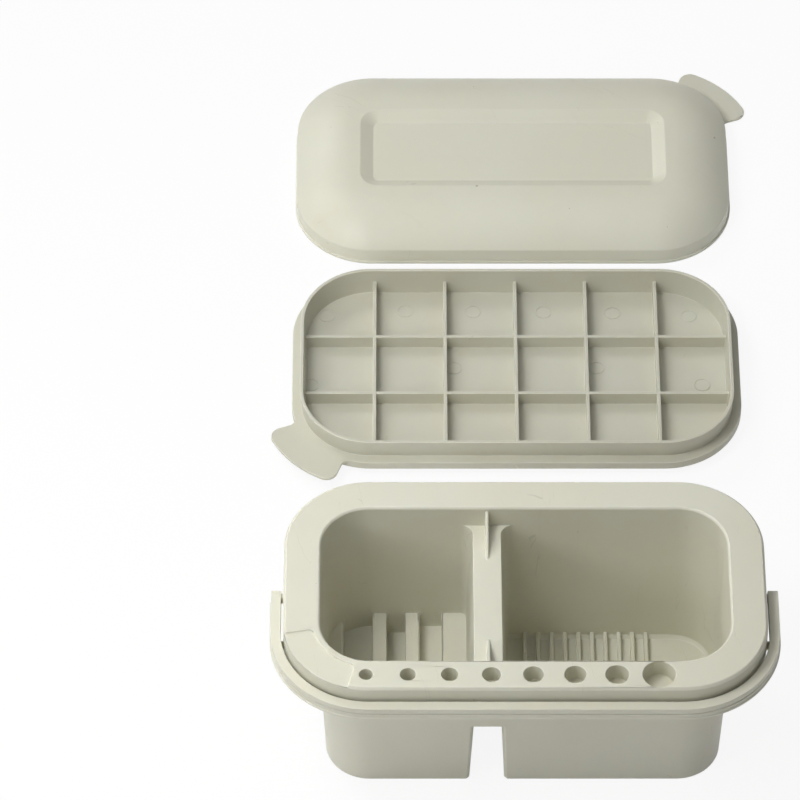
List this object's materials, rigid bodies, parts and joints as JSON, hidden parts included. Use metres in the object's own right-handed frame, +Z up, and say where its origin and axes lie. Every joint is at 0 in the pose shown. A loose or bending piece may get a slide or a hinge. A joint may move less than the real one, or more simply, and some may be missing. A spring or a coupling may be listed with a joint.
{
  "type": "brush washer",
  "caption": "Two-tank paintbrush washer with graded brush sockets, comb, washboard and swinging carry handle, its palette tray and domed lid standing behind it.",
  "frame": {"origin": "under the tub's centre, on the surface that it stands on", "axes": "+Z up; +X to the right along the tub's length; the brush sockets are at -Y and the palette tray and the lid stand at +Y"},
  "size_m": [0.256, 0.5172, 0.098],
  "materials": {
    "moulded_plastic": "satin"
  },
  "bodies": {
    "tub": {"tub": "moulded_plastic"},
    "carry_handle": {"carry_handle": "moulded_plastic"},
    "palette_tray": {"palette_tray": "moulded_plastic"},
    "lid": {"lid": "moulded_plastic"}
  },
  "joints": [
    {"name": "handle_swing", "type": "hinge", "parent": "tub", "child": "carry_handle", "pos_m": [0, 0, 0.086], "axis": [-1, 0, 0], "range_deg": [0, 180]},
    {"name": "tray_lift", "type": "slide", "parent": "tub", "child": "palette_tray", "axis": [0, 0, 1], "range_m": [0, 0.15]},
    {"name": "lid_lift", "type": "slide", "parent": "tub", "child": "lid", "axis": [0, 0, 1], "range_m": [0, 0.15]}
  ]
}
